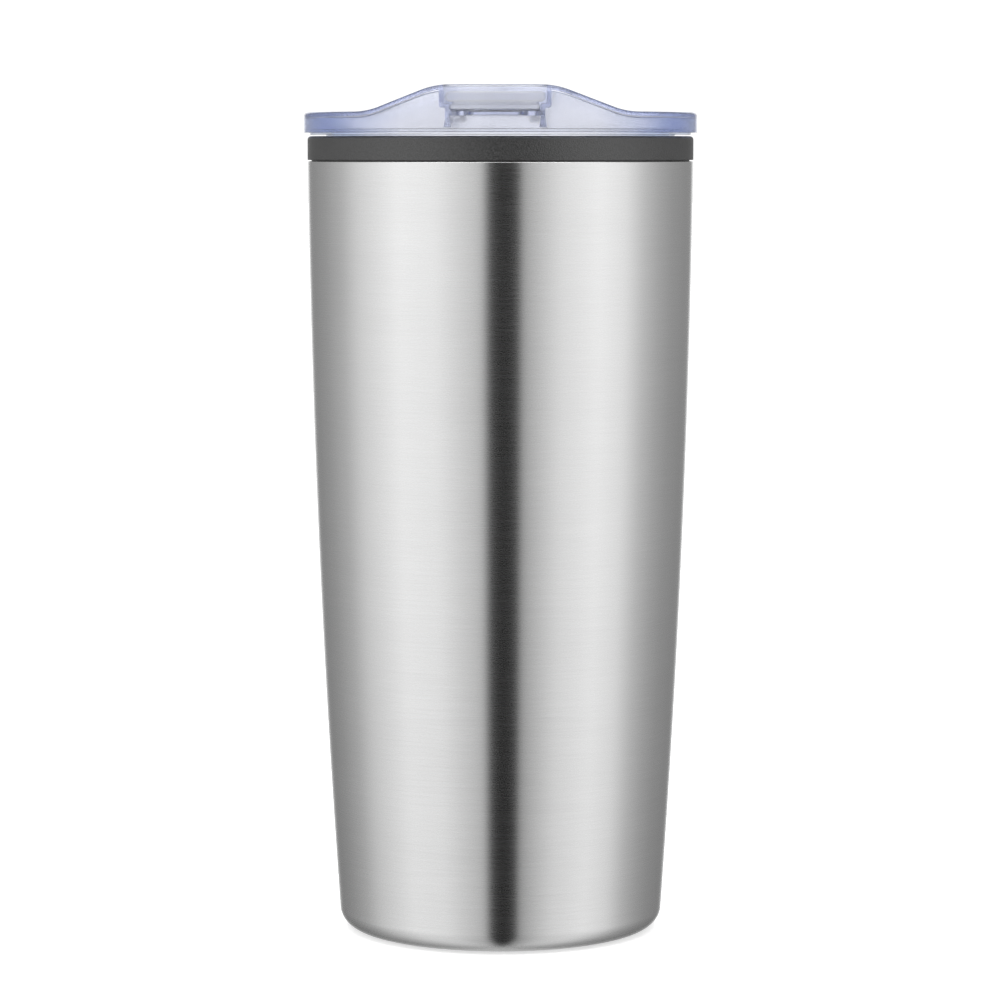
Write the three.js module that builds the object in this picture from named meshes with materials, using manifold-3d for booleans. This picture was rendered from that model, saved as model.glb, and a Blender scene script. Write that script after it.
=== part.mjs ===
// An insulated tumbler: a steel shell over a moulded plastic liner, closed by a clear press-in lid
// with a thumb slide. Millimetres, +Z up. The origin is the centre of the ring it stands on, and the
// drinking side faces -Y.

import * as THREE from 'three';
import { mergeVertices } from 'three/addons/utils/BufferGeometryUtils.js';
import Module from 'manifold-3d';

const wasm = await Module();
wasm.setup();

// Fineness
const TURN_STEPS = 48;
const ARC_STEPS = 3;
const WALL_STEPS = 6;
const GAP = 0.3;

// Steel shell
const SHELL_TOP = 177.1;
const SHELL_WALL = 0.6;
const FOOT_RADIUS = 37.0;
const FLARE = 12.6;
const BELLY = 5.4;
const BASE_CORNER = 4.8;
const BASE_RING_INNER = 30.2;
const BASE_LIP_HEIGHT = 2.4;

// Base plate, pressed into the lip of the shell
const BASE_PLATE_LEVEL = 1.4;
const BASE_PLATE_WALL = 0.6;
const BASE_DOME_RISE = 0.8;
const BASE_DOME_RADIUS = 19;

// Liner and its collar
const COLLAR_RADIUS = 44.2;
const COLLAR_TOP = 182.8;
const COLLAR_CORNER = 0.8;
const MOUTH_RADIUS = 41.2;
const AIR_GAP = 3.0;
const LINER_WALL = 1.8;
const LINER_FLOOR = 8.0;
const LINER_CORNER = 6.0;
const NECK_BOTTOM = 165;
const NECK_BLEND = 6;
const SEAL_LEVEL = 172;
const SEAL_SECTION = 1.1;

// Lid cover
const LID_RADIUS = 45.0;
const LID_WALL = 1.0;
const SKIRT_BOTTOM = 183.6;
const DECK_TOP = 188.2;
const LID_EDGE = 0.9;
const BRIDGE_TOP = 194.0;
const LID_CLEAR = BRIDGE_TOP + 1;
const BRIDGE_TOP_HALF = 13.2;
const BRIDGE_FOOT_HALF = 28.6;
const BRIDGE_TOP_FILLET = 4.0;
const BRIDGE_FOOT_FILLET = 3.2;
const CHANNEL_HALF = 11.2;
const CHANNEL_BACK = 6.0;
const LEDGE_HALF = 9.9;
const LEDGE_TOP = 189.9;
const RIB_BOTTOM = 184.7;
const DRINK_HALF = 6.5;
const DRINK_FRONT = -37.2;
const DRINK_BACK = -30.2;
const VENT_RADIUS = 1.2;
const VENT_Y = 24;
const VENT_STEPS = 12;

// Lid plug
const PLUG_INNER = 38.7;
const PLUG_OUTER = 40.0;
const PLUG_BOTTOM = 173.0;
const FLANGE_RADIUS = 40.6;
const FLANGE_HEIGHT = 1.0;
const GROOVE_BOTTOM = 176.6;
const GROOVE_TOP = 179.8;
const GASKET_LIP = 0.35;
const SHOULDER_RADIUS = 43.7;
const SHOULDER_HEIGHT = 1.3;

// Slider
const PLATE_HALF = 9.6;
const SLIDER_BACK = -15.0;
const SLIDER_PLATE = 1.2;
const GRIP_HALF = 10.9;
const GRIP_BOTTOM = 190.2;
const GRIP_TOP = 192.5;
const GRIP_FRONT = -41.2;
const GRIP_DEPTH = 3.4;
const GRIP_CORNER = 0.8;
const LEG_X = 7.9;
const LEG_Y = -19.0;
const LEG_WIDTH = 1.4;
const LEG_LENGTH = 4.0;
const BARB = 1.0;
const TRAVEL = 19.0;

const QUARTER = Math.PI / 2;

// Looks
const steel = { color: 0xb9bbbd, roughness: 0.32, metalness: 1.0 };
const darkPlastic = { color: 0x47474a, roughness: 0.62, metalness: 0.0 };
const clearPlastic = { color: 0xc9d0e6, roughness: 0.08, metalness: 0.0 };
const silicone = { color: 0xe6e8ea, roughness: 0.5, metalness: 0.0 };

// Outer radius of the steel wall at a height: a taper with a slight belly.
function shellRadius(z) {
  const t = z / SHELL_TOP;
  return FOOT_RADIUS + FLARE * t - BELLY * t * t;
}

function point(r, z) {
  return new THREE.Vector2(r, z);
}

// Points of an arc, from one angle to another, both ends included.
function arc(r, z, radius, from, to) {
  const points = [];
  const steps = ARC_STEPS * Math.ceil(Math.abs(to - from) / QUARTER);
  for (let i = 0; i <= steps; i += 1) {
    const angle = from + (to - from) * i / steps;
    points.push(point(r + radius * Math.cos(angle), z + radius * Math.sin(angle)));
  }
  return points;
}

// Points of the shell's wall, set in by an offset, from one height to another.
function wall(offset, from, to) {
  const points = [];
  for (let i = 0; i <= WALL_STEPS; i += 1) {
    const z = from + (to - from) * i / WALL_STEPS;
    points.push(point(shellRadius(z) - offset, z));
  }
  return points;
}

// A turned body about +Z. The profile runs counter-clockwise, radius to the right and height up.
function turned(profile) {
  const onAxis = profile[0].x === 0;
  const outline = onAxis ? profile : [...profile, profile[0].clone()];
  const geometry = new THREE.LatheGeometry(outline, TURN_STEPS);
  return geometry.rotateX(QUARTER);
}

// A plain disc.
function disc(radius, bottom, top) {
  return turned([point(0, bottom), point(radius, bottom), point(radius, top), point(0, top)]);
}

// A block between two corners.
function block(x0, x1, y0, y1, z0, z1) {
  const geometry = new THREE.BoxGeometry(x1 - x0, y1 - y0, z1 - z0);
  return geometry.translate((x0 + x1) / 2, (y0 + y1) / 2, (z0 + z1) / 2);
}

// A shape drawn in X and Z, drawn out along Y.
function across(shape, y0, y1) {
  const options = { depth: y1 - y0, bevelEnabled: false, curveSegments: ARC_STEPS };
  const geometry = new THREE.ExtrudeGeometry(shape, options);
  return geometry.rotateX(QUARTER).translate(0, y1, 0);
}

function solid(geometry) {
  const bare = geometry.clone();
  bare.deleteAttribute('normal');
  bare.deleteAttribute('uv');
  const merged = mergeVertices(bare, 1e-4);
  const vertProperties = new Float32Array(merged.attributes.position.array);
  const triVerts = new Uint32Array(merged.index.array);
  return new wasm.Manifold(new wasm.Mesh({ numProp: 3, vertProperties, triVerts }));
}

function geometryOf(body) {
  const mesh = body.getMesh();
  const geometry = new THREE.BufferGeometry();
  geometry.setAttribute('position', new THREE.BufferAttribute(mesh.vertProperties, 3));
  geometry.setIndex(new THREE.BufferAttribute(mesh.triVerts, 1));
  geometry.computeVertexNormals();
  return geometry;
}

// Steel wall with a rounded foot, a flat ring to stand on and a lip turned up inside it.
function outerShell() {
  const centre = shellRadius(BASE_CORNER) - BASE_CORNER;
  const innerCorner = BASE_CORNER - SHELL_WALL;
  const lip = BASE_RING_INNER - SHELL_WALL;
  return turned([
    point(BASE_RING_INNER, 0),
    ...arc(centre, BASE_CORNER, BASE_CORNER, -QUARTER, 0),
    ...wall(0, BASE_CORNER, SHELL_TOP).slice(1),
    ...wall(SHELL_WALL, SHELL_TOP, BASE_CORNER),
    ...arc(centre, BASE_CORNER, innerCorner, 0, -QUARTER).slice(1),
    point(BASE_RING_INNER, SHELL_WALL),
    point(BASE_RING_INNER, BASE_LIP_HEIGHT),
    point(lip, BASE_LIP_HEIGHT),
    point(lip, 0),
  ]);
}

// Pressed disc inside the lip, with a shallow domed centre.
function basePlate() {
  const edge = BASE_RING_INNER - SHELL_WALL - GAP;
  const low = BASE_PLATE_LEVEL;
  const high = low + BASE_DOME_RISE;
  const step = BASE_DOME_RADIUS + BASE_DOME_RISE;
  return turned([
    point(0, high),
    point(BASE_DOME_RADIUS, high),
    point(step, low),
    point(edge, low),
    point(edge, low + BASE_PLATE_WALL),
    point(step, low + BASE_PLATE_WALL),
    point(BASE_DOME_RADIUS, high + BASE_PLATE_WALL),
    point(0, high + BASE_PLATE_WALL),
  ]);
}

// One moulding: cup, neck that fits the top of the shell, and the collar that covers its edge.
function liner() {
  const bodyOffset = SHELL_WALL + AIR_GAP;
  const neckOffset = SHELL_WALL + GAP;
  const innerOffset = bodyOffset + LINER_WALL;
  const blendTop = NECK_BOTTOM + NECK_BLEND;
  const outerFloor = LINER_FLOOR - LINER_WALL;
  const outerTurn = outerFloor + LINER_CORNER;
  const innerCorner = LINER_CORNER - LINER_WALL;
  const innerTurn = LINER_FLOOR + innerCorner;
  const grooveRadius = shellRadius(SEAL_LEVEL) - neckOffset - SEAL_SECTION;
  const grooveHalf = SEAL_SECTION / 2 + GAP;
  const collarBottom = SHELL_TOP + GAP;
  const collarArc = COLLAR_TOP - COLLAR_CORNER;
  const mouthCorner = COLLAR_CORNER / 2;
  const outerCentre = shellRadius(outerTurn) - bodyOffset - LINER_CORNER;
  const innerCentre = shellRadius(innerTurn) - innerOffset - innerCorner;
  return turned([
    point(0, outerFloor),
    ...arc(outerCentre, outerTurn, LINER_CORNER, -QUARTER, 0),
    ...wall(bodyOffset, outerTurn, NECK_BOTTOM - NECK_BLEND).slice(1),
    point(shellRadius(NECK_BOTTOM) - neckOffset, NECK_BOTTOM),
    point(shellRadius(SEAL_LEVEL) - neckOffset, SEAL_LEVEL - grooveHalf),
    point(grooveRadius, SEAL_LEVEL - grooveHalf),
    point(grooveRadius, SEAL_LEVEL + grooveHalf),
    point(shellRadius(SEAL_LEVEL) - neckOffset, SEAL_LEVEL + grooveHalf),
    point(shellRadius(SHELL_TOP) - neckOffset, collarBottom),
    point(COLLAR_RADIUS, collarBottom),
    ...arc(COLLAR_RADIUS - COLLAR_CORNER, collarArc, COLLAR_CORNER, 0, QUARTER),
    ...arc(MOUTH_RADIUS + mouthCorner, COLLAR_TOP - mouthCorner, mouthCorner, QUARTER, 2 * QUARTER),
    point(MOUTH_RADIUS, blendTop),
    ...wall(innerOffset, NECK_BOTTOM - NECK_BLEND, innerTurn),
    ...arc(innerCentre, innerTurn, innerCorner, 0, -QUARTER).slice(1),
    point(0, LINER_FLOOR),
  ]);
}

// Soft ring in the groove of the liner's neck, pressed against the steel.
function linerSeal() {
  const half = SEAL_SECTION / 2;
  const centre = shellRadius(SEAL_LEVEL) - SHELL_WALL - GAP - half;
  return turned(arc(centre, SEAL_LEVEL, half, -QUARTER, 3 * QUARTER).slice(1));
}

// Outline of the raised bridge, seen from the front and set in by the wall's thickness.
function bridgeShape(inset) {
  const ramp = Math.atan2(BRIDGE_TOP - DECK_TOP, BRIDGE_FOOT_HALF - BRIDGE_TOP_HALF);
  const shift = inset * Math.tan(ramp / 2);
  const topX = BRIDGE_TOP_HALF - shift;
  const footX = BRIDGE_FOOT_HALF - shift;
  const top = BRIDGE_TOP - inset;
  const foot = DECK_TOP - inset;
  const root = foot - LID_WALL / 2;
  const runX = Math.cos(ramp);
  const runZ = Math.sin(ramp);
  const shape = new THREE.Shape();
  shape.moveTo(-footX - BRIDGE_FOOT_FILLET, root);
  shape.lineTo(footX + BRIDGE_FOOT_FILLET, root);
  shape.lineTo(footX + BRIDGE_FOOT_FILLET, foot);
  shape.quadraticCurveTo(footX, foot, footX - BRIDGE_FOOT_FILLET * runX, foot + BRIDGE_FOOT_FILLET * runZ);
  shape.lineTo(topX + BRIDGE_TOP_FILLET * runX, top - BRIDGE_TOP_FILLET * runZ);
  shape.quadraticCurveTo(topX, top, topX - BRIDGE_TOP_FILLET, top);
  shape.lineTo(-topX + BRIDGE_TOP_FILLET, top);
  shape.quadraticCurveTo(-topX, top, -topX - BRIDGE_TOP_FILLET * runX, top - BRIDGE_TOP_FILLET * runZ);
  shape.lineTo(-footX + BRIDGE_FOOT_FILLET * runX, foot + BRIDGE_FOOT_FILLET * runZ);
  shape.quadraticCurveTo(-footX, foot, -footX - BRIDGE_FOOT_FILLET, foot);
  return shape;
}

// The bridge from front to back, cut off round at a radius.
function bridge(inset, radius) {
  const bar = solid(across(bridgeShape(inset), -LID_RADIUS - LID_WALL, LID_RADIUS + LID_WALL));
  return bar.intersect(solid(disc(radius, SKIRT_BOTTOM, LID_CLEAR)));
}

// The cover as if it were solid.
function lidOutside() {
  const edge = LID_RADIUS - LID_EDGE;
  const cap = turned([
    point(0, SKIRT_BOTTOM),
    point(LID_RADIUS, SKIRT_BOTTOM),
    ...arc(edge, DECK_TOP - LID_EDGE, LID_EDGE, 0, QUARTER),
    point(0, DECK_TOP),
  ]);
  return solid(cap).add(bridge(0, LID_RADIUS));
}

// Tray under the channel, before it is hollowed out: narrow below its two ledges, wide above them.
function trough(outside) {
  const back = CHANNEL_BACK + LID_WALL;
  const narrow = LEDGE_HALF + LID_WALL;
  const wide = CHANNEL_HALF + LID_WALL;
  const step = LEDGE_TOP - LID_WALL;
  const low = solid(block(-narrow, narrow, -LID_RADIUS, back, DECK_TOP - LID_WALL, LEDGE_TOP));
  const high = solid(block(-wide, wide, -LID_RADIUS, back, step, BRIDGE_TOP));
  return low.add(high).intersect(outside);
}

// Space the slider lies and moves in, closed at the front by the wall of the bridge.
function channel() {
  const low = block(-LEDGE_HALF, LEDGE_HALF, -LID_RADIUS, CHANNEL_BACK, DECK_TOP, LID_CLEAR);
  const high = block(-CHANNEL_HALF, CHANNEL_HALF, -LID_RADIUS, CHANNEL_BACK, LEDGE_TOP, LID_CLEAR);
  const room = solid(disc(LID_RADIUS - LID_WALL, DECK_TOP, LID_CLEAR));
  return solid(low).add(solid(high)).intersect(room);
}

// Web below one side of the tray, from the skirt to the back of the tray.
function rib(side) {
  const inner = side > 0 ? LEDGE_HALF : -LEDGE_HALF - LID_WALL;
  const back = CHANNEL_BACK + LID_WALL;
  const web = block(inner, inner + LID_WALL, -LID_RADIUS, back, RIB_BOTTOM, DECK_TOP - LID_WALL / 2);
  return solid(web).intersect(solid(disc(LID_RADIUS - LID_WALL / 2, SKIRT_BOTTOM, DECK_TOP)));
}

// Slot in the channel's floor that a leg of the slider runs in.
function legSlot(side) {
  const half = LEG_WIDTH / 2 + GAP;
  const front = LEG_Y - LEG_LENGTH / 2 - GAP;
  const back = LEG_Y + LEG_LENGTH / 2 + TRAVEL + GAP;
  const middle = side * LEG_X;
  return solid(block(middle - half, middle + half, front, back, SKIRT_BOTTOM, BRIDGE_TOP));
}

function drinkHole() {
  return solid(block(-DRINK_HALF, DRINK_HALF, DRINK_FRONT, DRINK_BACK, SKIRT_BOTTOM, BRIDGE_TOP));
}

function ventHole() {
  const drill = new THREE.CylinderGeometry(VENT_RADIUS, VENT_RADIUS, LID_WALL * 3, VENT_STEPS);
  drill.rotateX(QUARTER).translate(0, VENT_Y, BRIDGE_TOP);
  return solid(drill);
}

// The clear cover: skirt, deck, raised bridge, the channel for the slider and its openings.
function lidCover() {
  const inside = LID_RADIUS - LID_WALL;
  const outside = lidOutside();
  const hollow = solid(disc(inside, SKIRT_BOTTOM - LID_WALL, DECK_TOP - LID_WALL));
  let body = outside.subtract(hollow.add(bridge(LID_WALL, inside)));
  body = body.add(trough(outside)).subtract(channel());
  for (const side of [-1, 1]) {
    body = body.add(rib(side)).subtract(legSlot(side));
  }
  return geometryOf(body.subtract(drinkHole()).subtract(ventHole()));
}

// Ring joined to the inside of the skirt: it rests on the collar, enters the mouth and carries the gasket.
function lidPlug() {
  const shoulderBottom = COLLAR_TOP + GAP;
  return turned([
    point(PLUG_INNER, PLUG_BOTTOM),
    point(PLUG_OUTER, PLUG_BOTTOM),
    point(PLUG_OUTER, GROOVE_BOTTOM - FLANGE_HEIGHT),
    point(FLANGE_RADIUS, GROOVE_BOTTOM - FLANGE_HEIGHT),
    point(FLANGE_RADIUS, GROOVE_BOTTOM),
    point(PLUG_OUTER, GROOVE_BOTTOM),
    point(PLUG_OUTER, GROOVE_TOP),
    point(FLANGE_RADIUS, GROOVE_TOP),
    point(FLANGE_RADIUS, GROOVE_TOP + FLANGE_HEIGHT),
    point(PLUG_OUTER, GROOVE_TOP + FLANGE_HEIGHT),
    point(PLUG_OUTER, shoulderBottom),
    point(SHOULDER_RADIUS, shoulderBottom),
    point(SHOULDER_RADIUS, shoulderBottom + SHOULDER_HEIGHT),
    point(PLUG_INNER, shoulderBottom + SHOULDER_HEIGHT),
  ]);
}

// Gasket in the plug's groove, with two lips that press on the liner.
function lidGasket() {
  const inner = PLUG_OUTER + GAP;
  const lip = MOUTH_RADIUS - GAP;
  const waist = lip - GASKET_LIP;
  const bottom = GROOVE_BOTTOM + GAP;
  const top = GROOVE_TOP - GAP;
  const middle = (bottom + top) / 2;
  const lipRise = (top - bottom) / 4;
  return turned([
    point(inner, bottom),
    point(waist, bottom),
    point(lip, bottom + lipRise),
    point(waist, middle),
    point(lip, top - lipRise),
    point(waist, top),
    point(inner, top),
  ]);
}

// Front outline of the grip: a bar with rounded corners.
function gripShape() {
  const r = GRIP_CORNER;
  const shape = new THREE.Shape();
  shape.moveTo(-GRIP_HALF + r, GRIP_BOTTOM);
  shape.lineTo(GRIP_HALF - r, GRIP_BOTTOM);
  shape.quadraticCurveTo(GRIP_HALF, GRIP_BOTTOM, GRIP_HALF, GRIP_BOTTOM + r);
  shape.lineTo(GRIP_HALF, GRIP_TOP - r);
  shape.quadraticCurveTo(GRIP_HALF, GRIP_TOP, GRIP_HALF - r, GRIP_TOP);
  shape.lineTo(-GRIP_HALF + r, GRIP_TOP);
  shape.quadraticCurveTo(-GRIP_HALF, GRIP_TOP, -GRIP_HALF, GRIP_TOP - r);
  shape.lineTo(-GRIP_HALF, GRIP_BOTTOM + r);
  shape.quadraticCurveTo(-GRIP_HALF, GRIP_BOTTOM, -GRIP_HALF + r, GRIP_BOTTOM);
  return shape;
}

// Clear slider: a plate over the drinking hole, a grip bar above the ledges and two barbed legs.
function slider() {
  const bottom = DECK_TOP + GAP;
  const top = bottom + SLIDER_PLATE;
  const reach = LID_RADIUS - LID_WALL - GAP;
  const gripBack = GRIP_FRONT + GRIP_DEPTH;
  const overlap = GRIP_CORNER / 2;
  const plate = solid(block(-PLATE_HALF, PLATE_HALF, -LID_RADIUS, SLIDER_BACK, bottom, top));
  const neck = block(-PLATE_HALF, PLATE_HALF, GRIP_FRONT, gripBack, top - overlap, GRIP_BOTTOM + overlap);
  const grip = solid(across(gripShape(), GRIP_FRONT, gripBack));
  let body = plate.intersect(solid(disc(reach, bottom, LID_CLEAR))).add(solid(neck)).add(grip);
  const under = DECK_TOP - LID_WALL - GAP;
  for (const side of [-1, 1]) {
    const inner = side * LEG_X - LEG_WIDTH / 2;
    const outer = side * LEG_X + LEG_WIDTH / 2;
    const front = LEG_Y - LEG_LENGTH / 2;
    const back = LEG_Y + LEG_LENGTH / 2;
    const barbInner = side > 0 ? inner : inner - BARB;
    const barbOuter = side > 0 ? outer + BARB : outer;
    body = body.add(solid(block(inner, outer, front, back, under - BARB, top)));
    body = body.add(solid(block(barbInner, barbOuter, front, back, under - BARB, under)));
  }
  return geometryOf(body);
}

function piece(name, geometry, look) {
  const mesh = new THREE.Mesh(geometry, new THREE.MeshStandardMaterial(look));
  mesh.name = name;
  return mesh;
}

const cup = new THREE.Group();
cup.add(
  piece('outer_shell', outerShell(), steel),
  piece('base_plate', basePlate(), steel),
  piece('liner', liner(), darkPlastic),
  piece('liner_seal', linerSeal(), silicone),
);

const lid = new THREE.Group();
lid.add(
  piece('lid_cover', lidCover(), clearPlastic),
  piece('lid_plug', lidPlug(), clearPlastic),
  piece('lid_gasket', lidGasket(), silicone),
  piece('slider', slider(), clearPlastic),
);

const tumbler = new THREE.Group();
tumbler.add(cup, lid);

export default tumbler;
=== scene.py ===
"""An insulated tumbler with a clear slide lid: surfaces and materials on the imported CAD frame."""

import math

import bmesh
import bpy
import numpy as np
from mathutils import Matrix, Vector


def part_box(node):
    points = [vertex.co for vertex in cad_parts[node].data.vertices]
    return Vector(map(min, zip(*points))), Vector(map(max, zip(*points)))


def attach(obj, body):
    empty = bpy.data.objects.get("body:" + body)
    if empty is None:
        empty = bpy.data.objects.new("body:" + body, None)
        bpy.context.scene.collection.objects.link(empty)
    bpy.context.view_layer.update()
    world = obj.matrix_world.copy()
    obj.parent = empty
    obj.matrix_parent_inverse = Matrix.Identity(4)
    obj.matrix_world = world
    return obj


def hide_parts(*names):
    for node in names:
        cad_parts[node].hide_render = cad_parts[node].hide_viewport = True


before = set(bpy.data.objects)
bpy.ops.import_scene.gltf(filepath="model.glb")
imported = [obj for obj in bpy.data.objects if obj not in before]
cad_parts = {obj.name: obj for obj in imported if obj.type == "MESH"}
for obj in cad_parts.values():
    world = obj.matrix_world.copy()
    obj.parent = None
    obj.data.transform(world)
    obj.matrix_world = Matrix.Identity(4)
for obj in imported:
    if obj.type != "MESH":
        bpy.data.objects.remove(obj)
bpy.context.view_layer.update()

MM = 0.001
QUARTER = math.pi / 2

# ---------------------------------------------------------------- sizes, in millimetres
TURN_STEPS = 288
ARC_STEPS = 6
BLEND_STEPS = 16
TINY = 1e-9


def node_top(node):
    """Height of a CAD node's highest point."""
    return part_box(node)[1].z / MM


def node_bottom(node):
    """Height of a CAD node's lowest point."""
    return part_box(node)[0].z / MM


def node_radius(node):
    """Largest distance of a CAD node from the axis, along X."""
    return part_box(node)[1].x / MM


SHELL_TOP = node_top("outer_shell")
SHELL_WALL = 0.6
SHELL_EDGE = SHELL_WALL * 0.4
FOOT_RADIUS = 37.0
FLARE = 12.6
BELLY = 5.4
BASE_CORNER = 4.8
BASE_RING_INNER = 30.2
BASE_LIP_HEIGHT = 2.4
BASE_PLATE_EDGE = node_radius("base_plate")
BASE_PLATE_LEVEL = node_bottom("base_plate")
BASE_PLATE_SHEET = 0.6
BASE_PLATE_RISE = 0.8
BASE_PLATE_DOME = 19.0
BASE_PLATE_SLOPE = 1.6

COLLAR_RADIUS = node_radius("liner")
COLLAR_TOP = node_top("liner")
MOUTH_RADIUS = 41.2
LINER_FLOOR = 8.0
LINER_WALL = 1.8
LINER_CORNER = 6.0
COLLAR_FOOT_EDGE = 0.15
RIM_OUTER_EDGE = 0.8
RIM_INNER_EDGE = 0.6
AIR_GAP = 3.0
NECK_BOTTOM = 165.0
NECK_BLEND = 6.0
SEAL_LEVEL = 172.0
SEAL_SECTION = 1.1
GAP = 0.3

LID_RADIUS = node_radius("lid_cover")
LID_WALL = 1.0
SKIRT_BOTTOM = node_bottom("lid_cover")
DECK_TOP = 188.2
BRIDGE_TOP = node_top("lid_cover")
BRIDGE_TOP_HALF = 13.2
BRIDGE_FOOT_HALF = 28.6
BRIDGE_TOP_FILLET = 3.4
BRIDGE_FOOT_FILLET = 3.0
RIM_FILLET = 0.8
SKIRT_FILLET = 0.12
CHANNEL_HALF = 11.2
CHANNEL_BACK = 6.0
CHANNEL_CORNER = 1.6
CHANNEL_LIP = 0.3
CHANNEL_FLOOR_EDGE = 0.5
CHANNEL_SIDE_EDGE = 0.3
LEDGE_HALF = 9.9
LEDGE_TOP = 189.9
LEDGE_EDGE = 0.2
RIB_TOP_HALF = 0.45
RIB_FOOT_HALF = 0.8
RIB_BOTTOM = 184.7
DRINK_HALF = 6.5
DRINK_FRONT = -37.2
DRINK_BACK = -30.2
DRINK_CORNER = 2.2
DRINK_EDGE = 0.25
SLOT_CORNER = 0.8
SLOT_EDGE = 0.1
VENT_RADIUS = 1.2
VENT_EDGE = 0.2
VENT_Y = 24.0

PLUG_INNER = 38.7
PLUG_OUTER = 40.0
PLUG_BOTTOM = node_bottom("lid_plug")
PLUG_TOP = node_top("lid_plug")
FLANGE_RADIUS = 40.6
FLANGE_HEIGHT = 1.0
GROOVE_BOTTOM = 176.6
GROOVE_TOP = 179.8
SHOULDER_RADIUS = node_radius("lid_plug")

PLATE_HALF = 9.6
PLATE_CORNER = 1.5
PLATE_EDGE = 0.3
NECK_INSET = 0.5
NECK_SIDE_INSET = 0.2
NECK_CORNER = 0.8
OVERLAP = 0.5
LEG_OVERLAP = 0.4
GRIP_HALF = node_radius("slider")
GRIP_BOTTOM = 190.2
SLIDER_BACK = -15.0
SLIDER_PLATE = 1.2
GRIP_TOP = node_top("slider")
GRIP_FRONT = -41.2
GRIP_DEPTH = 3.4
GRIP_CORNER = 1.1
GRIP_EDGE = 0.5
LEG_X = 7.9
LEG_Y = -19.0
LEG_WIDTH = 1.4
LEG_LENGTH = 4.0
LEG_CORNER = 0.3
LEG_EDGE = 0.15
BARB = 1.0
TRAVEL = 19.0


# ---------------------------------------------------------------- outlines and meshes
def shell_radius(z):
    """Outer radius of the steel wall at a height: a taper with a slight belly."""
    t = z / SHELL_TOP
    return FOOT_RADIUS + FLARE * t - BELLY * t * t


def arc(r, z, radius, start, end, steps=ARC_STEPS):
    """Points of an arc from one angle to another, both ends included."""
    angles = [start + (end - start) * i / steps for i in range(steps + 1)]
    return [(r + radius * math.cos(a), z + radius * math.sin(a)) for a in angles]


def wall(offset, start, end, steps=24):
    """Points of the steel wall's line, set in by an offset, from one height to another."""
    heights = [start + (end - start) * i / steps for i in range(steps + 1)]
    return [(shell_radius(z) - offset, z) for z in heights]


def rounded(points, radii, closed=True, steps=ARC_STEPS):
    """A profile whose corners are rounded off: one radius for each point, 0 for a sharp one."""
    result = []
    count = len(points)
    for i, (here, radius) in enumerate(zip(points, radii)):
        if radius == 0 or (not closed and i in (0, count - 1)):
            result.append(here)
            continue
        corner = Vector(here)
        before = (Vector(points[i - 1]) - corner).normalized()
        after = (Vector(points[(i + 1) % count]) - corner).normalized()
        half = before.angle(after) / 2
        reach = radius / math.tan(half)
        centre = corner + (before + after).normalized() * radius / math.sin(half)
        first = corner + before * reach - centre
        last = corner + after * reach - centre
        start = math.atan2(first.y, first.x)
        sweep = math.remainder(math.atan2(last.y, last.x) - start, 2 * math.pi)
        result += arc(centre.x, centre.y, radius, start, start + sweep, steps)
    return result


def make_piece(name, vertices, faces):
    """A closed mesh from points in millimetres, with its faces turned outwards."""
    mesh = bpy.data.meshes.new(name)
    points = [tuple(c * MM for c in vertex) for vertex in vertices]
    mesh.from_pydata(points, [], faces)
    work = bmesh.new()
    work.from_mesh(mesh)
    bmesh.ops.recalc_face_normals(work, faces=work.faces)
    work.to_mesh(mesh)
    work.free()
    piece = bpy.data.objects.new(name, mesh)
    bpy.context.scene.collection.objects.link(piece)
    return piece


def revolve(name, profile, steps=TURN_STEPS):
    """A body turned about +Z: a profile from axis to axis, or any other one closed on itself."""
    on_axis = profile[0][0] < TINY
    vertices = []
    rings = []
    for r, z in profile:
        if r < TINY:
            rings.append([len(vertices)] * steps)
            vertices.append((0, 0, z))
            continue
        rings.append(list(range(len(vertices), len(vertices) + steps)))
        for k in range(steps):
            angle = 2 * math.pi * k / steps
            vertices.append((r * math.sin(angle), r * math.cos(angle), z))
    pairs = list(zip(rings, rings[1:]))
    if not on_axis:
        pairs.append((rings[-1], rings[0]))
    faces = []
    for low, high in pairs:
        for k in range(steps):
            after = (k + 1) % steps
            quad = [low[k], low[after], high[after], high[k]]
            faces.append(list(dict.fromkeys(quad)))
    return make_piece(name, vertices, faces)


def stack(name, loops):
    """A closed body from loops of equal length, one above another, with flat ends."""
    count = len(loops[0])
    vertices = [point for loop in loops for point in loop]
    faces = [list(range(count)), list(range(len(vertices) - count, len(vertices)))]
    for level in range(len(loops) - 1):
        base = level * count
        for k in range(count):
            after = (k + 1) % count
            faces.append([base + k, base + after, base + count + after, base + count + k])
    return make_piece(name, vertices, faces)


def rounded_loop(half, front, back, corner, z, steps=8):
    """A rectangle with round corners at a height, centred on X."""
    points = []
    spots = [(1, back, 0), (-1, back, 1), (-1, front, 2), (1, front, 3)]
    for side, edge, turn in spots:
        inward = -1 if edge == back else 1
        centre = (side * (half - corner), edge + inward * corner)
        start = turn * QUARTER
        for x, y in arc(*centre, corner, start, start + QUARTER, steps):
            points.append((x, y, z))
    return points


def fronted_loop(half, back, corner, radius, z, steps=8, across=48):
    """As rounded_loop, with a front edge that follows a circle about the axis."""
    reach = math.asin(half / radius)
    points = [(x, y, z) for x, y in arc(half - corner, back - corner, corner, 0, QUARTER, steps)]
    left = arc(corner - half, back - corner, corner, QUARTER, 2 * QUARTER, steps)
    points += [(x, y, z) for x, y in left]
    for k in range(across + 1):
        angle = -reach + 2 * reach * k / across
        points.append((radius * math.sin(angle), -radius * math.cos(angle), z))
    return points


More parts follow.
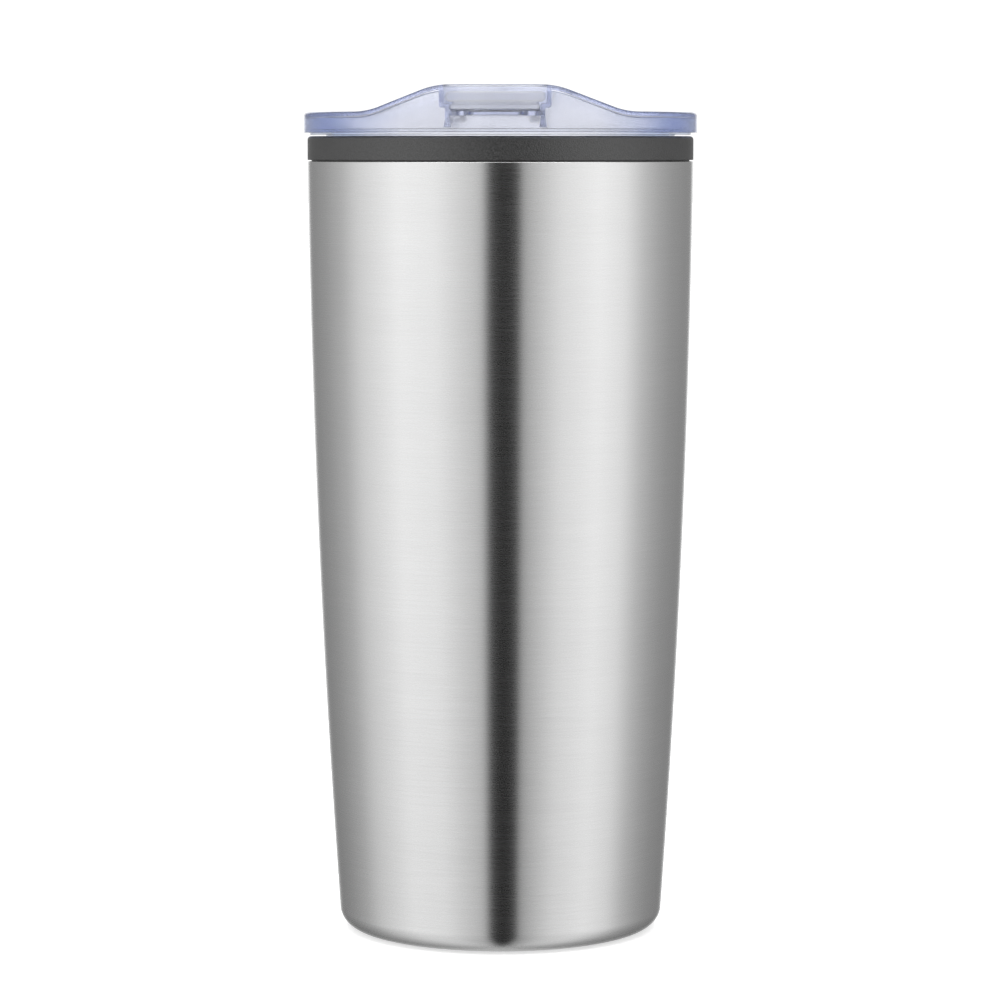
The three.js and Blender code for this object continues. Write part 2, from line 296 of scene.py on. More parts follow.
def bridge_line(inset):
    """Half of the bridge's outline from the front, set in by an inset: distances and heights."""
    ramp = math.atan2(BRIDGE_TOP - DECK_TOP, BRIDGE_FOOT_HALF - BRIDGE_TOP_HALF)
    shift = inset * math.tan(ramp / 2)
    top = Vector((BRIDGE_TOP_HALF - shift, BRIDGE_TOP - inset))
    foot = Vector((BRIDGE_FOOT_HALF - shift, DECK_TOP - inset))
    down = (foot - top).normalized()
    level = Vector((1, 0))
    spots = [(0, top.y)]
    for corner, reach, before, after in (
        (top, BRIDGE_TOP_FILLET, -level, down),
        (foot, BRIDGE_FOOT_FILLET, -down, level),
    ):
        start = corner + before * reach
        end = corner + after * reach
        for k in range(BLEND_STEPS + 1):
            t = k / BLEND_STEPS
            spots.append(tuple(start * (1 - t) ** 2 + corner * 2 * t * (1 - t) + end * t * t))
    spots.append((LID_RADIUS * 2, foot.y))
    return np.array(spots).T


def domed(name, radius, inset, bottom, rim, foot, turns=360, rows=56):
    """A round body whose top follows the bridge, with a rounded rim and foot."""
    distances, heights = bridge_line(inset)
    angles = np.arange(turns) * 2 * math.pi / turns

    def surface(r):
        return np.interp(np.abs(r * np.sin(angles)), distances, heights)

    rings = []
    for r, z in arc(radius - foot, bottom + foot, foot, -QUARTER, 0):
        rings.append((r, np.full(turns, z)))
    for r, rise in arc(radius - rim, 0, rim, 0, QUARTER):
        rings.append((r, surface(r) - rim + rise))
    for k in range(1, rows):
        r = (radius - rim) * (1 - k / rows)
        rings.append((r, surface(r)))
    vertices = []
    for r, z in rings:
        vertices += list(zip(r * np.sin(angles), -r * np.cos(angles), z))
    faces = []
    for level in range(len(rings) - 1):
        base = level * turns
        for k in range(turns):
            after = (k + 1) % turns
            faces.append([base + k, base + after, base + turns + after, base + turns + k])
    top = len(vertices)
    vertices.append((0, 0, heights[0]))
    last = (len(rings) - 1) * turns
    faces += [[last + k, last + (k + 1) % turns, top] for k in range(turns)]
    faces.append(list(range(turns)))
    return make_piece(name, vertices, faces)


def combine(target, others, operation):
    """Joins other pieces to the target, or cuts them out of it, and deletes them."""
    for other in others:
        step = target.modifiers.new("step", "BOOLEAN")
        step.operation = operation
        step.solver = "MANIFOLD"
        step.object = other
        depsgraph = bpy.context.evaluated_depsgraph_get()
        mesh = bpy.data.meshes.new_from_object(target.evaluated_get(depsgraph))
        target.modifiers.clear()
        old = target.data
        target.data = mesh
        bpy.data.meshes.remove(old)
        bpy.data.objects.remove(other)
    return target


def finish_piece(piece, body, node, material, crease=32):
    """Smooth shading with crisp edges and a material; puts the piece on its body and hides the CAD
    node it replaces.
    """
    mesh = piece.data
    mesh.materials.clear()
    mesh.materials.append(material)
    mesh.polygons.foreach_set("use_smooth", [True] * len(mesh.polygons))
    mesh.set_sharp_from_angle(angle=math.radians(crease))
    weighted = piece.modifiers.new("normals", "WEIGHTED_NORMAL")
    weighted.keep_sharp = True
    weighted.weight = 90
    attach(piece, body)
    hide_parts(node)
    return piece


# ---------------------------------------------------------------- materials
def new_material(name):
    """A material with its node tree and its Principled shader."""
    material = bpy.data.materials.new(name)
    material.use_nodes = True
    tree = material.node_tree
    shader = next(n for n in tree.nodes if n.type == "BSDF_PRINCIPLED")
    return material, tree, shader


def stretched_noise(tree, spread, detail, roughness=0.55):
    """Noise in the object's own space, drawn out by different amounts along X, Y and Z."""
    coordinates = tree.nodes.new("ShaderNodeTexCoord")
    mapping = tree.nodes.new("ShaderNodeMapping")
    mapping.inputs["Scale"].default_value = spread
    noise = tree.nodes.new("ShaderNodeTexNoise")
    noise.inputs["Scale"].default_value = 1.0
    noise.inputs["Detail"].default_value = detail
    noise.inputs["Roughness"].default_value = roughness
    tree.links.new(coordinates.outputs["Object"], mapping.inputs["Vector"])
    tree.links.new(mapping.outputs["Vector"], noise.inputs["Vector"])
    return noise.outputs["Fac"]


def ranged(tree, value, low, high, source_low=0.3, source_high=0.7):
    """Maps a range, by default the middle of a noise's, on to a low and a high value."""
    node = tree.nodes.new("ShaderNodeMapRange")
    node.inputs["From Min"].default_value = source_low
    node.inputs["From Max"].default_value = source_high
    node.inputs["To Min"].default_value = low
    node.inputs["To Max"].default_value = high
    tree.links.new(value, node.inputs["Value"])
    return node.outputs["Result"]


def feed(tree, socket, value):
    """Sets a socket to a number, or links it to another node's output."""
    if isinstance(value, (int, float)):
        socket.default_value = value
    else:
        tree.links.new(value, socket)


def math_node(tree, operation, first, second=0.0):
    """The result of one Math node."""
    node = tree.nodes.new("ShaderNodeMath")
    node.operation = operation
    feed(tree, node.inputs[0], first)
    feed(tree, node.inputs[1], second)
    return node.outputs["Value"]


def chosen(tree, switch, off, on):
    """One value where a switch is 0 and another where it is 1."""
    node = tree.nodes.new("ShaderNodeMix")
    node.data_type = "FLOAT"
    tree.links.new(switch, node.inputs[0])
    feed(tree, node.inputs[2], off)
    feed(tree, node.inputs[3], on)
    return node.outputs[0]


def bump(tree, shader, height, strength, distance):
    """Roughens the shader's normal with a height, over a distance in metres."""
    node = tree.nodes.new("ShaderNodeBump")
    node.inputs["Strength"].default_value = strength
    node.inputs["Distance"].default_value = distance
    tree.links.new(height, node.inputs["Height"])
    tree.links.new(node.outputs["Normal"], shader.inputs["Normal"])


def grey(tree, value, tint=(1.0, 1.0, 1.0)):
    """A colour from one value, tinted."""
    node = tree.nodes.new("ShaderNodeCombineColor")
    for socket, share in zip(node.inputs, tint):
        tree.links.new(math_node(tree, "MULTIPLY", value, share), socket)
    return node.outputs["Color"]


def brushed_steel():
    """Steel brushed round the body: long fine streaks, and light spread along the axis."""
    material, tree, shader = new_material("brushed_steel")
    fine = stretched_noise(tree, (70, 70, 4200), 3)
    hair = stretched_noise(tree, (220, 220, 9500), 2)
    broad = stretched_noise(tree, (16, 16, 60), 3)
    fine_share = math_node(tree, "MULTIPLY", fine, 0.6)
    hair_share = math_node(tree, "MULTIPLY", hair, 0.4)
    streaks = math_node(tree, "ADD", fine_share, hair_share)
    value = ranged(tree, streaks, 0.72, 0.78)
    cloud = ranged(tree, broad, 0.985, 1.015)
    tone = math_node(tree, "MULTIPLY", value, cloud)
    tree.links.new(grey(tree, tone), shader.inputs["Base Color"])
    tree.links.new(ranged(tree, streaks, 0.25, 0.29), shader.inputs["Roughness"])
    shader.inputs["Metallic"].default_value = 1.0
    shader.inputs["Anisotropic"].default_value = 0.95
    shader.inputs["Anisotropic Rotation"].default_value = 0.25
    tangent = tree.nodes.new("ShaderNodeTangent")
    tangent.direction_type = "RADIAL"
    tangent.axis = "Z"
    tree.links.new(tangent.outputs["Tangent"], shader.inputs["Tangent"])
    bump(tree, shader, streaks, 0.15, 0.00002)
    return material


def spun_steel():
    """The base plate: rings left by spinning."""
    material, tree, shader = new_material("spun_steel")
    coordinates = tree.nodes.new("ShaderNodeTexCoord")
    split = tree.nodes.new("ShaderNodeSeparateXYZ")
    tree.links.new(coordinates.outputs["Object"], split.inputs["Vector"])
    x_square = math_node(tree, "MULTIPLY", split.outputs["X"], split.outputs["X"])
    y_square = math_node(tree, "MULTIPLY", split.outputs["Y"], split.outputs["Y"])
    radius = math_node(tree, "SQRT", math_node(tree, "ADD", x_square, y_square))
    rings = tree.nodes.new("ShaderNodeTexNoise")
    rings.noise_dimensions = "1D"
    rings.inputs["Scale"].default_value = 2600
    rings.inputs["Detail"].default_value = 3
    tree.links.new(radius, rings.inputs["W"])
    lines = rings.outputs["Fac"]
    tree.links.new(grey(tree, ranged(tree, lines, 0.58, 0.72)), shader.inputs["Base Color"])
    tree.links.new(ranged(tree, lines, 0.3, 0.42), shader.inputs["Roughness"])
    shader.inputs["Metallic"].default_value = 1.0
    bump(tree, shader, lines, 0.3, 0.00003)
    return material


def dark_plastic():
    """Dark grey moulded plastic with a fine spark-eroded texture."""
    material, tree, shader = new_material("dark_plastic")
    grain = stretched_noise(tree, (3200, 3200, 3200), 2)
    cloud = stretched_noise(tree, (90, 90, 90), 2)
    shade = ranged(tree, grain, 0.006, 0.034)
    tone = math_node(tree, "MULTIPLY", shade, ranged(tree, cloud, 0.96, 1.04))
    tree.links.new(grey(tree, tone, (1.0, 1.0, 1.02)), shader.inputs["Base Color"])
    tree.links.new(ranged(tree, grain, 0.30, 0.50), shader.inputs["Roughness"])
    shader.inputs["Specular IOR Level"].default_value = 0.92
    bump(tree, shader, grain, 0.8, 0.0001)
    return material


def clear_plastic(name, face_on, edge_on, density, haze, clarity=1.0):
    """Clear styrene, faintly blue and bluer edge on, with a haze and a slight moulded ripple."""
    material, tree, shader = new_material(name)
    facing = tree.nodes.new("ShaderNodeLayerWeight")
    facing.inputs["Blend"].default_value = 0.5
    slant = ranged(tree, facing.outputs["Facing"], 0.0, 1.0, 0.14, 0.5)
    tint = tree.nodes.new("ShaderNodeMix")
    tint.data_type = "RGBA"
    tint.inputs["A"].default_value = (*face_on, 1.0)
    tint.inputs["B"].default_value = (*edge_on, 1.0)
    tree.links.new(slant, tint.inputs["Factor"])
    tree.links.new(tint.outputs["Result"], shader.inputs["Base Color"])
    shader.inputs["Transmission Weight"].default_value = clarity
    shader.inputs["IOR"].default_value = 1.5
    ripple = stretched_noise(tree, (55, 55, 90), 1)
    tree.links.new(ranged(tree, ripple, haze, haze * 2), shader.inputs["Roughness"])
    bump(tree, shader, ripple, 0.05, 0.0002)
    absorption = tree.nodes.new("ShaderNodeVolumeAbsorption")
    absorption.inputs["Color"].default_value = (0.55, 0.63, 0.95, 1.0)
    absorption.inputs["Density"].default_value = density
    output = next(n for n in tree.nodes if n.type == "OUTPUT_MATERIAL")
    tree.links.new(absorption.outputs["Volume"], output.inputs["Volume"])
    return material


def silicone():
    """Soft milky rubber with a little bloom on its surface."""
    material, tree, shader = new_material("silicone")
    bloom = stretched_noise(tree, (260, 260, 260), 3)
    milk = grey(tree, ranged(tree, bloom, 0.78, 0.86), (0.98, 0.99, 1.0))
    tree.links.new(milk, shader.inputs["Base Color"])
    tree.links.new(ranged(tree, bloom, 0.4, 0.55), shader.inputs["Roughness"])
    shader.inputs["Subsurface Weight"].default_value = 0.4
    shader.inputs["Subsurface Radius"].default_value = (0.002, 0.002, 0.002)
    shader.inputs["Transmission Weight"].default_value = 0.25
    bump(tree, shader, bloom, 0.1, 0.0001)
    return material


# ---------------------------------------------------------------- the cup
def outer_shell():
    """The steel wall: rounded foot, belly, rounded top edge, and the lip turned up underneath."""
    centre = shell_radius(BASE_CORNER) - BASE_CORNER
    inner_corner = BASE_CORNER - SHELL_WALL
    lip = BASE_RING_INNER - SHELL_WALL
    edge = SHELL_EDGE
    edge_level = SHELL_TOP - edge
    outside = shell_radius(SHELL_TOP) - edge
    inside = shell_radius(SHELL_TOP) - SHELL_WALL + edge
    profile = [(BASE_RING_INNER - edge, 0)]
    profile += arc(centre, BASE_CORNER, BASE_CORNER, -QUARTER, 0, 20)
    profile += wall(0, BASE_CORNER, edge_level)[1:-1]
    profile += arc(outside, edge_level, edge, 0, QUARTER)
    profile += arc(inside, edge_level, edge, QUARTER, 2 * QUARTER)
    profile += wall(SHELL_WALL, edge_level, BASE_CORNER)[1:]
    profile += arc(centre, BASE_CORNER, inner_corner, 0, -QUARTER, 12)[1:]
    profile += [(BASE_RING_INNER, SHELL_WALL), (BASE_RING_INNER, BASE_LIP_HEIGHT)]
    profile += [(lip, BASE_LIP_HEIGHT), (lip, edge)]
    return revolve("steel_shell", profile)


def base_plate():
    """The disc that closes the foot, pressed up in the middle."""
    low = BASE_PLATE_LEVEL
    high = low + BASE_PLATE_RISE
    slope_foot = BASE_PLATE_DOME + BASE_PLATE_SLOPE
    under = [(0, high), (BASE_PLATE_DOME, high), (slope_foot, low), (BASE_PLATE_EDGE, low)]
    over = [(r, z + BASE_PLATE_SHEET) for r, z in reversed(under)]
    radii = [0, 1.2, 1.2, 0.2, 0.2, 1.2, 1.2, 0]
    return revolve("steel_base", rounded(under + over, radii, closed=False))


def liner():
    """The plastic cup and its collar, from the outside of its floor round to the inside."""
    body = SHELL_WALL + AIR_GAP
    neck = SHELL_WALL + GAP
    inner = body + LINER_WALL
    corner = LINER_CORNER
    floor = LINER_FLOOR - LINER_WALL
    turn = floor + corner
    inner_corner = corner - LINER_WALL
    inner_turn = LINER_FLOOR + inner_corner
    groove = shell_radius(SEAL_LEVEL) - neck - SEAL_SECTION
    half = SEAL_SECTION / 2 + GAP
    under = SHELL_TOP + GAP
    outer_centre = shell_radius(turn) - body - corner
    inner_centre = shell_radius(inner_turn) - inner - inner_corner
    foot_edge = COLLAR_FOOT_EDGE
    rim_outer = RIM_OUTER_EDGE
    rim_inner = RIM_INNER_EDGE
    neck_radius = shell_radius(SEAL_LEVEL) - neck
    profile = [(0, floor)]
    profile += arc(outer_centre, turn, corner, -QUARTER, 0, 10)
    profile += wall(body, turn, NECK_BOTTOM - NECK_BLEND)[1:]
    profile += [(shell_radius(NECK_BOTTOM) - neck, NECK_BOTTOM)]
    profile += [(neck_radius, SEAL_LEVEL - half), (groove, SEAL_LEVEL - half)]
    profile += [(groove, SEAL_LEVEL + half), (neck_radius, SEAL_LEVEL + half)]
    profile += [(shell_radius(SHELL_TOP) - neck, under)]
    profile += arc(COLLAR_RADIUS - foot_edge, under + foot_edge, foot_edge, -QUARTER, 0, 3)
    profile += arc(COLLAR_RADIUS - rim_outer, COLLAR_TOP - rim_outer, rim_outer, 0, QUARTER, 8)
    mouth_centre = MOUTH_RADIUS + rim_inner
    profile += arc(mouth_centre, COLLAR_TOP - rim_inner, rim_inner, QUARTER, 2 * QUARTER, 8)
    blend_top = NECK_BOTTOM + NECK_BLEND
    blend_bottom = NECK_BOTTOM - NECK_BLEND
    widening = shell_radius(blend_bottom) - inner - MOUTH_RADIUS
    for k in range(13):
        t = k / 12
        ease = t * t * (3 - 2 * t)
        z = blend_top + (blend_bottom - blend_top) * t
        profile.append((MOUTH_RADIUS + widening * ease, z))
    profile += wall(inner, blend_bottom, inner_turn)[1:]
    profile += arc(inner_centre, inner_turn, inner_corner, 0, -QUARTER, 10)[1:]
    profile += [(0, LINER_FLOOR)]
    return revolve("cup_liner", profile)


def liner_seal():
    """The round-section ring in the neck's groove."""
    half = SEAL_SECTION / 2
    centre = shell_radius(SEAL_LEVEL) - SHELL_WALL - GAP - half
    return revolve("neck_seal", arc(centre, SEAL_LEVEL, half, 0, 4 * QUARTER, 16)[:-1])


# ---------------------------------------------------------------- the lid
def lower_edge(radius):
    """Offsets and rises of a lower edge rounded off in three steps."""
    return [(-radius, 0), (-0.3 * radius, 0.3 * radius), (0, radius)]


def quarter_turns():
    """The angles of a rounded edge, from its start to its end."""
    return [QUARTER * k / ARC_STEPS for k in range(ARC_STEPS + 1)]


def tray_block(half, bottom, top):
    """A block as deep as the channel's tray, with its lower edges rounded."""
    front = -LID_RADIUS - 2
    back = CHANNEL_BACK + LID_WALL
    return stack("tray", [
        rounded_loop(half + out, front, back + out, CHANNEL_CORNER, bottom + rise)
        for out, rise in lower_edge(CHANNEL_FLOOR_EDGE) + [(0, top - bottom)]
    ])


def rib(side):
    """The web below one side of the tray, wider towards its foot."""
    middle = side * (LEDGE_HALF + LID_WALL / 2)
    floor = DECK_TOP - LID_WALL
    loops = []
    for k in range(9):
        rise = k / 8
        half = RIB_TOP_HALF + (RIB_FOOT_HALF - RIB_TOP_HALF) * (1 - rise) ** 2
        z = RIB_BOTTOM + (floor + 0.3 - RIB_BOTTOM) * rise
        box = rounded_loop(half, -LID_RADIUS - 2, CHANNEL_BACK + LID_WALL, 0.3, z, 4)
        loops.append([(x + middle, y, height) for x, y, height in box])
    return stack("rib", loops)


def cover_inside():
    """The hollow under the cover, with the channel's tray and the two ribs left standing in it."""
    radius = LID_RADIUS - LID_WALL
    hollow = domed("hollow", radius, LID_WALL, SKIRT_BOTTOM - 2, 0.5, 0.01)
    low = tray_block(LEDGE_HALF + LID_WALL, DECK_TOP - LID_WALL, BRIDGE_TOP + 2)
    high = tray_block(CHANNEL_HALF + LID_WALL, LEDGE_TOP - LID_WALL, BRIDGE_TOP + 3)
    return combine(hollow, [low, high, rib(-1), rib(1)], "DIFFERENCE")


def channel_cutter():
    """The channel's space: narrow between its ledges, wide above them, rounded at its top."""
    inside = LID_RADIUS - LID_WALL
    levels = []
    for out, rise in lower_edge(CHANNEL_FLOOR_EDGE):
        levels.append((LEDGE_HALF + out, out, DECK_TOP + rise))
    for rise, out in lower_edge(LEDGE_EDGE):
        levels.append((LEDGE_HALF + out, 0, LEDGE_TOP + rise))
    for out, rise in lower_edge(CHANNEL_SIDE_EDGE):
        levels.append((CHANNEL_HALF + out, 0, LEDGE_TOP + rise))
    lip = CHANNEL_LIP
    for angle in quarter_turns():
        out = lip * (1 - math.cos(angle))
        levels.append((CHANNEL_HALF + out, out, BRIDGE_TOP - lip + lip * math.sin(angle)))
    levels.append((CHANNEL_HALF + lip, lip, BRIDGE_TOP + 2))
    return stack("channel", [
        fronted_loop(half, CHANNEL_BACK + out, CHANNEL_CORNER + out, inside + out, z)
        for half, out, z in levels
    ])


def hole_cutter(half, front, back, corner, low, high, flare, shift=0.0):
    """An upright hole through a sheet between two heights, with rounded edges on both faces."""
    levels = [(flare, low - 1)] + pillow_levels(low, high, flare) + [(flare, high + 1)]
    loops = []
    for out, z in levels:
        loop = rounded_loop(half + out, front - out, back + out, corner + out, z)
        loops.append([(x + shift, y, z) for x, y, z in loop])
    return stack("hole", loops)


def lid_cover():
    """The clear moulding: dome, hollow, channel, drinking hole, leg slots and vent."""
    cover = domed("clear_cover", LID_RADIUS, 0, SKIRT_BOTTOM, RIM_FILLET, SKIRT_FILLET)
    floor = DECK_TOP - LID_WALL
    slot_half = LEG_WIDTH / 2 + GAP
    slot_front = LEG_Y - LEG_LENGTH / 2 - GAP
    slot_back = LEG_Y + LEG_LENGTH / 2 + TRAVEL + GAP
    vent = VENT_RADIUS
    vent_corner = vent * 0.99
    roof = BRIDGE_TOP - LID_WALL
    cutters = [cover_inside(), channel_cutter()]
    cutters.append(hole_cutter(
        DRINK_HALF, DRINK_FRONT, DRINK_BACK, DRINK_CORNER, floor, DECK_TOP, DRINK_EDGE
    ))
    for side in (-1, 1):
        cutters.append(hole_cutter(
            slot_half, slot_front, slot_back, SLOT_CORNER, floor, DECK_TOP, SLOT_EDGE, side * LEG_X
        ))
    cutters.append(hole_cutter(
        vent, VENT_Y - vent, VENT_Y + vent, vent_corner, roof, BRIDGE_TOP, VENT_EDGE
    ))
    return combine(cover, cutters, "DIFFERENCE")


def lid_plug():
    """The ring that enters the mouth: wall, gasket groove, and the flange above the collar."""
    shoulder = COLLAR_TOP + GAP
    points = [
        (PLUG_INNER, PLUG_BOTTOM),
        (PLUG_OUTER, PLUG_BOTTOM),
        (PLUG_OUTER, GROOVE_BOTTOM - FLANGE_HEIGHT),
        (FLANGE_RADIUS, GROOVE_BOTTOM - FLANGE_HEIGHT),
        (FLANGE_RADIUS, GROOVE_BOTTOM),
        (PLUG_OUTER, GROOVE_BOTTOM),
        (PLUG_OUTER, GROOVE_TOP),
        (FLANGE_RADIUS, GROOVE_TOP),
        (FLANGE_RADIUS, GROOVE_TOP + FLANGE_HEIGHT),
        (PLUG_OUTER, GROOVE_TOP + FLANGE_HEIGHT),
        (PLUG_OUTER, shoulder),
        (SHOULDER_RADIUS, shoulder),
        (SHOULDER_RADIUS, PLUG_TOP),
        (PLUG_INNER, PLUG_TOP),
    ]
    radii = [0.5, 0.5] + [0.2] * 8 + [0.05, 0.08, 0.05, 0.08]
    return revolve("clear_plug", rounded(points, radii))


def lid_gasket():
    """The ring in the plug's groove, with two soft lips."""
    inner = PLUG_OUTER + GAP
    lip = MOUTH_RADIUS - GAP
    waist = lip - 0.35
    bottom = GROOVE_BOTTOM + GAP
    top = GROOVE_TOP - GAP
    rise = (top - bottom) / 4
    points = [
        (inner, bottom),
        (waist, bottom),
        (lip, bottom + rise),
        (waist, (bottom + top) / 2),
        (lip, top - rise),
        (waist, top),
        (inner, top),
    ]
    radii = [0.1, 0.15, 0.25, 0.2, 0.25, 0.15, 0.1]
    return revolve("lid_seal", rounded(points, radii))


def pillow_levels(bottom, top, edge):
    """Offsets and heights up an upright face whose lower and upper edges are rounded."""
    levels = []
    for angle in quarter_turns():
        levels.append((edge * (1 - math.sin(angle)), bottom + edge * (1 - math.cos(angle))))
    for angle in quarter_turns():
        levels.append((edge * (1 - math.cos(angle)), top - edge + edge * math.sin(angle)))
    return levels


def upright_loop(half, low, high, corner, y, steps=8):
    """A rectangle with round corners that stands across the object at a depth."""
    points = []
    for side, edge, turn in ((1, high, 0), (-1, high, 1), (-1, low, 2), (1, low, 3)):
        inward = -1 if edge == high else 1
        centre = (side * (half - corner), edge + inward * corner)
        start = turn * QUARTER
        for x, z in arc(*centre, corner, start, start + QUARTER, steps):
            points.append((x, y, z))
    return points


def grip_bar():
    """The bar across the slider: round ended, with soft edges at its front and back."""
    loops = []
    for inset, y in pillow_levels(GRIP_FRONT, GRIP_FRONT + GRIP_DEPTH, GRIP_EDGE):
        low = GRIP_BOTTOM + inset
        high = GRIP_TOP - inset
        loops.append(upright_loop(GRIP_HALF - inset, low, high, GRIP_CORNER - inset, y))
    return stack("grip", loops)


def leg(side, top):
    """One leg of the slider, and the barb that holds it under the channel's floor."""
    under = DECK_TOP - LID_WALL - GAP
    shapes = [(LEG_WIDTH / 2, 0, top), ((LEG_WIDTH + BARB) / 2, BARB / 2, under)]
    parts = []
    for half, shift, high in shapes:
        loops = []
        for inset, z in pillow_levels(under - BARB, high, LEG_EDGE):
            front = LEG_Y - LEG_LENGTH / 2 + inset
            back = LEG_Y + LEG_LENGTH / 2 - inset
            loop = rounded_loop(half - inset, front, back, LEG_CORNER, z, 4)
            loops.append([(x + side * (LEG_X + shift), y, height) for x, y, height in loop])
        parts.append(stack("leg", loops))
    return parts


def slider():
    """The thumb slide: plate, neck, grip bar and two barbed legs."""
    bottom = DECK_TOP + GAP
    top = bottom + SLIDER_PLATE
    reach = LID_RADIUS - LID_WALL - GAP
    plate = stack("clear_slider", [
        fronted_loop(PLATE_HALF - inset, SLIDER_BACK - inset, PLATE_CORNER, reach - inset, z)
        for inset, z in pillow_levels(bottom, top, PLATE_EDGE)
    ])
    neck_front = GRIP_FRONT + NECK_INSET
    neck_back = GRIP_FRONT + GRIP_DEPTH - NECK_INSET
    neck = stack("neck", [
        rounded_loop(PLATE_HALF - NECK_SIDE_INSET, neck_front, neck_back, NECK_CORNER, z)
        for z in (top - OVERLAP, GRIP_BOTTOM + OVERLAP)
    ])
    leg_top = top - LEG_OVERLAP
    legs = leg(-1, leg_top) + leg(1, leg_top)
    return combine(plate, [neck, grip_bar()] + legs, "UNION")


# ---------------------------------------------------------------- studio
CAMERA_AZIMUTH = math.radians(1.6)
CAMERA_PITCH = math.radians(5.145)
CAMERA_DISTANCE = 0.9
CAMERA_HEIGHT = 0.1801
CAMERA_LENS = 140.7
CAMERA_SHIFT = -0.0005
LIGHT_BOUNCES = 64
BACKDROP = 1.1
SOFT_BACK = 0.88
SOFT_SIDE = 0.33
LOW_SHARE = 0.65
OVERHEAD = 1.8
WALLS = [
    (-180, 1.04), (-167, 1.04), (-161, 0.32), (-150, 0.31), (-130, 0.42), (-110, 0.62),
    (-95, 0.93), (-64, 1.32), (-40, 1.21), (-24, 0.93), (-11, 0.74), (-6.8, 0.0),
    (11.2, 0.0), (12.8, 0.49), (22, 0.71), (37, 1.06), (62, 1.31), (80, 1.16),
    (96, 0.75), (110, 0.54), (125, 0.41), (146, 0.32), (161, 0.30), (167, 1.04), (180, 1.04),
]  # brightness of the light by its direction round the object, in degrees from the camera
FLOOR_SIZE = 12.0
FLOOR_DROP = 0.0002


def add_camera():
    """The camera in front of the object, a little to one side and tilted down."""
    data = bpy.data.cameras.new("camera")
    data.lens = CAMERA_LENS
    data.sensor_width = 36.0
    data.clip_start = 0.01
    data.shift_x = CAMERA_SHIFT
    camera = bpy.data.objects.new("camera", data)
    bpy.context.scene.collection.objects.link(camera)
    camera.location = (
        CAMERA_DISTANCE * math.sin(CAMERA_AZIMUTH),
        -CAMERA_DISTANCE * math.cos(CAMERA_AZIMUTH),
        CAMERA_HEIGHT,
    )
    camera.rotation_euler = (QUARTER - CAMERA_PITCH, 0, CAMERA_AZIMUTH)
    bpy.context.scene.camera = camera


def add_studio():
    """Soft walls of light round the object, with a dark gap in front for the steel's dark streak.

    The camera sees a white backdrop, and light that comes through clear plastic is plain and soft.
    """
    world = bpy.data.worlds.new("studio")
    bpy.context.scene.world = world
    world.use_nodes = True
    tree = world.node_tree
    background = next(n for n in tree.nodes if n.type == "BACKGROUND")
    coordinates = tree.nodes.new("ShaderNodeTexCoord")
    split = tree.nodes.new("ShaderNodeSeparateXYZ")
    tree.links.new(coordinates.outputs["Generated"], split.inputs["Vector"])
    turn = math_node(tree, "MULTIPLY", split.outputs["Y"], -1.0)
    azimuth = math_node(tree, "ARCTAN2", split.outputs["X"], turn)
    relative = math_node(tree, "SUBTRACT", azimuth, CAMERA_AZIMUTH)
    share = math_node(tree, "ADD", math_node(tree, "DIVIDE", relative, 2 * math.pi), 0.5)
    walls = tree.nodes.new("ShaderNodeValToRGB")
    ramp = walls.color_ramp
    ramp.elements[0].position = 0.0
    ramp.elements[1].position = 1.0
    for degrees, _ in WALLS[1:-1]:
        ramp.elements.new(degrees / 360 + 0.5)
    for element, (_, level) in zip(ramp.elements, WALLS):
        element.color = (level, level, level, 1)
    tree.links.new(share, walls.inputs["Fac"])
    below = ranged(tree, split.outputs["Z"], LOW_SHARE, 1.0, -0.36, 0.0)
    above = ranged(tree, split.outputs["Z"], 0.0, OVERHEAD, 0.72, 0.92)
    sideways = math_node(tree, "ABSOLUTE", split.outputs["X"])
    backlight = ranged(tree, sideways, SOFT_BACK, SOFT_SIDE, 0.3, 0.95)
    strength = math_node(tree, "MULTIPLY", walls.outputs["Color"], below)
    reflected = math_node(tree, "ADD", strength, above)
    through = math_node(tree, "ADD", backlight, above)
    path = tree.nodes.new("ShaderNodeLightPath")
    seen = chosen(tree, path.outputs["Is Transmission Ray"], reflected, through)
    total = chosen(tree, path.outputs["Is Camera Ray"], seen, BACKDROP)
    tree.links.new(total, background.inputs["Strength"])
    background.inputs["Color"].default_value = (1, 1, 1, 1)


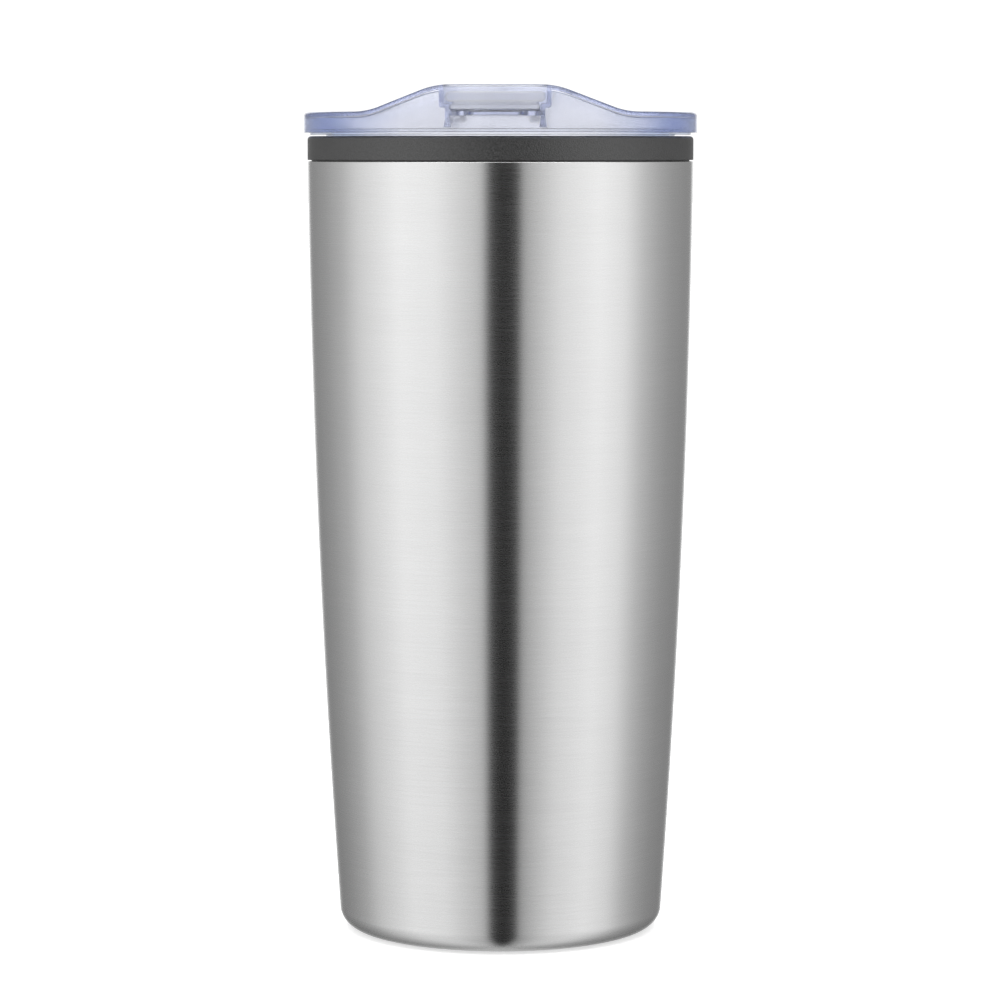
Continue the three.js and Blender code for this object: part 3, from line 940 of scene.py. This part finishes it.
def add_floor():
    """A plain white floor that gives off a little light, so that the shadow on it stays faint."""
    corners = [(x * FLOOR_SIZE, y * FLOOR_SIZE, 0) for x, y in ((-1, -1), (1, -1), (1, 1), (-1, 1))]
    mesh = bpy.data.meshes.new("floor")
    mesh.from_pydata(corners, [], [(0, 1, 2, 3)])
    floor = bpy.data.objects.new("floor", mesh)
    bpy.context.scene.collection.objects.link(floor)
    floor.location.z = -FLOOR_DROP
    material, _, shader = new_material("floor")
    shader.inputs["Base Color"].default_value = (0.92, 0.92, 0.92, 1)
    shader.inputs["Emission Color"].default_value = (1, 1, 1, 1)
    shader.inputs["Emission Strength"].default_value = 0.45
    shader.inputs["Roughness"].default_value = 0.9
    shader.inputs["Specular IOR Level"].default_value = 0.1
    mesh.materials.append(material)
    floor.visible_glossy = False


# ---------------------------------------------------------------- the whole
def build():
    """Every piece of the object, on its body and with its material."""
    steel = brushed_steel()
    plastic = dark_plastic()
    cover = clear_plastic("clear_cover", (0.855, 0.867, 0.922), (0.33, 0.40, 0.66), 8.0, 0.09)
    plug = clear_plastic("clear_plug", (0.985, 0.99, 1.0), (0.62, 0.70, 0.88), 2.0, 0.02)
    slide = clear_plastic("clear_slider", (1.0, 1.0, 1.0), (0.93, 0.95, 0.97), 1.0, 0.05, 0.7)
    soft = silicone()
    finish_piece(outer_shell(), "cup", "outer_shell", steel)
    finish_piece(base_plate(), "cup", "base_plate", spun_steel())
    finish_piece(liner(), "cup", "liner", plastic)
    finish_piece(liner_seal(), "cup", "liner_seal", soft)
    finish_piece(lid_cover(), "lid", "lid_cover", cover)
    finish_piece(lid_plug(), "lid", "lid_plug", plug)
    finish_piece(lid_gasket(), "lid", "lid_gasket", soft)
    finish_piece(slider(), "thumb_slide", "slider", slide)


add_camera()
add_studio()
add_floor()
build()

scene = bpy.context.scene
scene.view_settings.view_transform = "Standard"
for limit in ("max_bounces", "transmission_bounces", "glossy_bounces"):
    setattr(scene.cycles, limit, LIGHT_BOUNCES)
